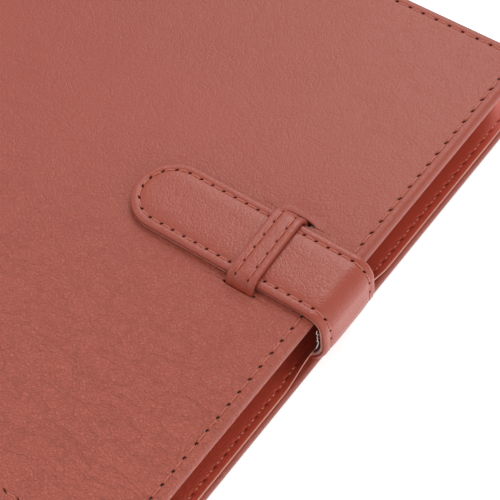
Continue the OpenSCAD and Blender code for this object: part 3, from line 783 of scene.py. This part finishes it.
# strap
# section of the strap's face and of its backing at the edge: inset and depth
strapRows = [(1.6, -1.6), (0.35, -1.6), (0.1, -1.5), (0, -1.22), (0.05, -0.86), (0.17, -0.54),
             (0.37, -0.28), (0.64, -0.11), (0.94, -0.03), (1.3, 0.01), (1.7, 0.01), (2.1, -0.04),
             (2.4, -0.11), (2.7, -0.21), (3.0, -0.3), (3.3, -0.21), (3.65, -0.09), (4.1, 0.0),
             (4.8, 0.08), (5.8, 0.14), (7.0, 0.18)]
backRows = [(2.6, -1.4), (0.5, -1.45), (0.4, -1.55), (0.36, -1.9), (0.36, -2.3), (0.45, -2.55),
            (0.7, -2.6), (1.6, -2.6), (3.0, -2.6), (6.4, -2.6)]
backRimTags = (2, 3, 4)
tipX = -(strap["reach"] + strapHalf)
topRun = topArc[0] - tipX
topTurn = strap["topRadius"] * math.pi / 2
lowTurn = lowRadius * math.pi / 2
seamAt = topRun + topTurn + strap["rise"] / 2
baseAt = topRun + topTurn + strap["rise"] + lowTurn


def strapLine(s):
    # middle line of the strap, s in mm from the tip; x from the fore-edge
    s = np.asarray(s, float)
    a = np.clip((s - topRun) / strap["topRadius"], 0, math.pi / 2)
    down = np.clip(s - topRun - topTurn, 0, strap["rise"])
    b = np.clip((s - topRun - topTurn - strap["rise"]) / lowRadius, 0, math.pi / 2)
    home = np.maximum(s - baseAt, 0)
    x = tipX + np.minimum(s, topRun) + strap["topRadius"] * np.sin(a) - lowRadius * (1 - np.cos(b)) - home
    z = topMiddle - strap["topRadius"] * (1 - np.cos(a)) - down - lowRadius * np.sin(b)
    turn = a + b
    return x, z, np.sin(turn), np.cos(turn)


def placeStrap(pts):
    s, v, h = pts[:, 0], pts[:, 1], pts[:, 2]
    x, z, nx, nz = strapLine(s)
    cup = 0.26 * smoothStep(abs(v), 5, strapHalf) * (1 - smoothStep(s, topRun - 4, topRun + 8))
    o = h + strap["thick"] / 2 - cup
    return np.column_stack([x + nx * o + foreX / mm, v, z + nz * o]) * mm


def strapSheets(rows):
    vLines = spaced(-6, 7, 2.0)
    tongue = makeSheet(length=seamAt, half=strapHalf, radius=strapHalf, rows=rows, gap=0.8,
                       sLines=spaced(8, topRun - 2, 2.5) + spaced(topRun - 2, seamAt, 0.5), vLines=vLines,
                       step=strap["step"], corner=40)
    homeLen = baseAt + strap["hidden"] - seamAt
    bend = makeSheet(length=homeLen, half=strapHalf, radius=0.5, rows=rows, gap=0.8,
                     sLines=spaced(1, homeLen, 0.6), vLines=vLines, step=strap["step"], corner=2)
    return tongue, bend, homeLen


def placeBend(pts):
    q = pts.copy()
    q[:, 0] = baseAt + strap["hidden"] - q[:, 0]
    return placeStrap(q)


tongueFace, bendFace, homeLen = strapSheets(strapRows)
quarter = math.pi / 2 * (strapHalf - strap["stitchIn"])
rowHalf = quarter + seamAt - strapHalf
n = int(rowHalf / strap["pitch"])
seamClear = 0.3                                # no hole nearer than this to where the two pieces join
tongueHoles = [rowHalf + (k + 0.5) * strap["pitch"] for k in range(-n - 1, n + 1)]
tongueHoles = [d for d in tongueHoles if seamClear < d < 2 * rowHalf - seamClear]
holeSize = (strap["holeDepth"], strap["holeSide"])
tongueSpans = pierce(tongueFace, strap["stitchIn"], tongueHoles, *holeSize)
first = (n + 0.5) * strap["pitch"] - rowHalf
first = first if first > seamClear else first + strap["pitch"]
bendHoles = [first + k * strap["pitch"] for k in range(5)]
bendTotal = 2 * (homeLen - strap["stitchIn"] - 0.35) + 2 * (strapHalf - strap["stitchIn"])
bendSpans = pierce(bendFace, strap["stitchIn"], bendHoles, *holeSize)
bendSpans += pierce(bendFace, strap["stitchIn"], [bendTotal - d for d in bendHoles][::-1], *holeSize)

tongue = sheetPiece("strap_tongue_leather", tongueFace, placeStrap, True, strapLeather)
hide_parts("strap_tongue_face")
bend = sheetPiece("strap_bend_leather", bendFace, placeBend, False, strapLeather)
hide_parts("strap_bend_face")
tongueBackSheet, bendBackSheet, _ = strapSheets(backRows)
tongueBack = sheetPiece("strap_tongue_backing", tongueBackSheet, placeStrap, True, backingLeather,
                        backRimTags, backingEdge)
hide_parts("strap_tongue_back")
bendBack = sheetPiece("strap_bend_backing", bendBackSheet, placeBend, False, backingLeather,
                      backRimTags, backingEdge)
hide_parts("strap_bend_back")
tonguePaths, bendPaths = stitchPaths(tongueFace, tongueSpans), stitchPaths(bendFace, bendSpans)
tongueThread = threadPiece("strap_tongue_stitches", tonguePaths, placeStrap, strap["thread"], sewingThread)
bendThread = threadPiece("strap_bend_stitches", bendPaths, placeBend, strap["thread"], sewingThread)
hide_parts("strap_tongue_thread")
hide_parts("strap_bend_thread")

# a pale loose thread runs down the inner edge of the strap, on its tail side
loose = dict(top=1.0, bottom=9.0, inEdge=0.35, off=0.25, swing=0.85, step=0.85, radius=0.14)
shake = np.random.default_rng(11)


def looseLine(start, end):
    s = np.arange(start, end + 1e-6, loose["step"])
    sway = loose["swing"] * np.where(np.arange(len(s)) % 2, 1, -1) * shake.uniform(0.5, 1.0, len(s))
    h = -strap["thick"] - loose["off"] - np.abs(sway) * 0.9
    v = -(strapHalf - loose["inEdge"]) + sway * 0.5
    return np.column_stack([s + shake.uniform(-0.15, 0.15, len(s)), v, h])


upperLoose = looseLine(topRun + topTurn - loose["top"], seamAt)
lowerRest = looseLine(upperLoose[-1, 0] + loose["step"], seamAt + loose["bottom"])
lowerLoose = np.vstack([upperLoose[-1:], lowerRest])
looseUpper = threadPiece("strap_loose_thread_upper", [upperLoose], placeStrap, loose["radius"], looseThread)
looseLower = threadPiece("strap_loose_thread_lower", [lowerLoose], placeStrap, loose["radius"], looseThread)
for piece in (bend, bendBack, bendThread, looseLower):
    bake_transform(piece)
for piece in (tongue, tongueBack, tongueThread, looseUpper):
    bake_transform(piece)
print("strap done")


# keeper
keeperTop = topZ / mm + keeper["rise"]
keeperLine = [(strapHalf + y, topZ / mm + z) for y, z in ((3.3, -1.4), (3.1, -0.4), (2.8, 0.6), (2.4, 1.65),
              (1.75, 2.7), (0.8, 3.6), (-0.4, 4.2), (-1.8, 4.52))]
keeperLine += [(8, keeperTop - 0.03), (4, keeperTop), (0, keeperTop)]
keeperRim = [(0.3, -1.42), (0.1, -1.32), (0.0, -1.02), (0.03, -0.68), (0.14, -0.36), (0.35, -0.13),
             (0.65, 0.0), (1.0, 0.03), (1.5, 0.04), (2.0, 0.01), (2.3, -0.07), (2.55, -0.15), (2.8, -0.22),
             (3.05, -0.15), (3.3, -0.07), (3.7, 0.01), (4.4, 0.06), (5.2, 0.07)]
# what one keeper hole does: places off, rows off, sink, painted shade
keeperHole = ((0, 0, 0.55, 1), (1, 0, 0.3, 1), (-1, 0, 0.3, 1), (0, 1, 0.2, 0.6), (0, -1, 0.2, 0.6),
              (2, 0, 0.1, 0.4))


def throughPoints(points, step):
    # an even walk along a smooth line through the points
    p = np.array(points, float)
    p = np.vstack([2 * p[0] - p[1], p, 2 * p[-1] - p[-2]])
    fine = []
    for i in range(1, len(p) - 2):
        for t in np.linspace(0, 1, 24, endpoint=False):
            a, b, c, d = p[i - 1], p[i], p[i + 1], p[i + 2]
            square = (2 * a - 5 * b + 4 * c - d) * t * t
            cube = (3 * b - a - 3 * c + d) * t ** 3
            fine.append(0.5 * (2 * b + (c - a) * t + square + cube))
    fine = np.array(fine + [p[-2]])
    run = np.concatenate([[0], np.cumsum(np.linalg.norm(np.diff(fine, axis=0), axis=1))])
    at = np.linspace(0, run[-1], int(run[-1] / step) + 1)
    return np.column_stack([np.interp(at, run, fine[:, c]) for c in range(fine.shape[1])]), at


keeperSewn = 17                                # the stitches reach this far round from the middle, mm


def makeKeeper():
    line = keeperLine + [(-y, z) for y, z in keeperLine[-2::-1]]
    path, at = throughPoints(line, 0.3)
    t = np.gradient(path, axis=0)
    t /= np.linalg.norm(t, axis=1)[:, None]
    normal = np.column_stack([t[:, 1], -t[:, 0]])
    if normal[len(normal) // 2, 1] < 0:
        normal = -normal
    half = keeper["wide"] / 2
    rim = [(-half + e, h) for e, h in keeperRim] + [(half - e, h) for e, h in keeperRim[-2::-1]]
    flatPts = np.array([[i, x, h] for i in range(len(path)) for x, h in rim])
    pits = np.zeros(len(flatPts))
    cols = len(rim)
    rows = [k for k, (x, h) in enumerate(rim) if abs(abs(x) - (half - keeper["stitchIn"])) < 0.01]
    pitch, mid = keeper["pitch"], at[-1] / 2
    holeAt = [mid + (k + 0.5) * pitch for k in range(-4, 4) if abs((k + 0.5) * pitch) < keeperSewn]
    spans = []
    for k in rows:
        picks = [int(np.argmin(abs(at - d))) for d in holeAt]
        for i in picks:
            for di, dk, sink, shade in keeperHole:
                flatPts[(i + di) * cols + k + dk, 2] -= sink
                pits[(i + di) * cols + k + dk] = shade
        spans += [(k, a, b) for a, b in zip(picks, picks[1:])]

    def place(p):
        i = np.clip(p[:, 0], 0, len(path) - 1)
        c = np.column_stack([np.interp(i, range(len(path)), path[:, q]) for q in range(2)])
        m = np.column_stack([np.interp(i, range(len(path)), normal[:, q]) for q in range(2)])
        lean = keeper["skew"] * c[:, 0] / 16
        x = foreX / mm - keeper["at"] + p[:, 1] - lean
        return np.column_stack([x, c[:, 0] + m[:, 0] * p[:, 2], c[:, 1] + m[:, 1] * p[:, 2]]) * mm

    faces = [(i * cols + k, (i + 1) * cols + k, (i + 1) * cols + (k + 1) % cols, i * cols + (k + 1) % cols)
             for i in range(len(path) - 1) for k in range(cols)]
    band = meshPiece("keeper_band", place(flatPts), faces)
    band.data.materials.append(strapLeather)
    shade = band.data.attributes.new("pit", "FLOAT", "POINT")
    shade.data.foreach_set("value", pits.astype(np.float32))
    paths = []
    for k, a, b in spans:
        i = np.linspace(a + 1.7, b - 1.7, 9)
        u = np.linspace(-1, 1, 9)
        paths.append(np.column_stack([i, np.full(9, rim[k][0]), 0.06 - 0.5 * abs(u) ** 4]))
    sewn = threadPiece("keeper_stitches", paths, place, keeper["thread"], sewingThread)
    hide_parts("keeper")
    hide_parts("keeper_thread")
    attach(band, "front_cover")
    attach(sewn, "front_cover")


makeKeeper()
print("keeper done")

# carried pieces get their finishes
cardNodes = [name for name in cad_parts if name.startswith("leaf_")] + ["guard_strips"]
finishes = ((greyBoard, ["back_board", "spine_board", "front_board"]), (blackCard, cardNodes),
            (postBrass, ["post_barrels", "post_screws"]), (coverLeather, ["binding_strip"]),
            (strapLeather, ["strap_base"]))
for finish, names in finishes:
    for name in names:
        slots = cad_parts[name].data.materials
        slots.clear()
        slots.append(finish)
print("finishes done")
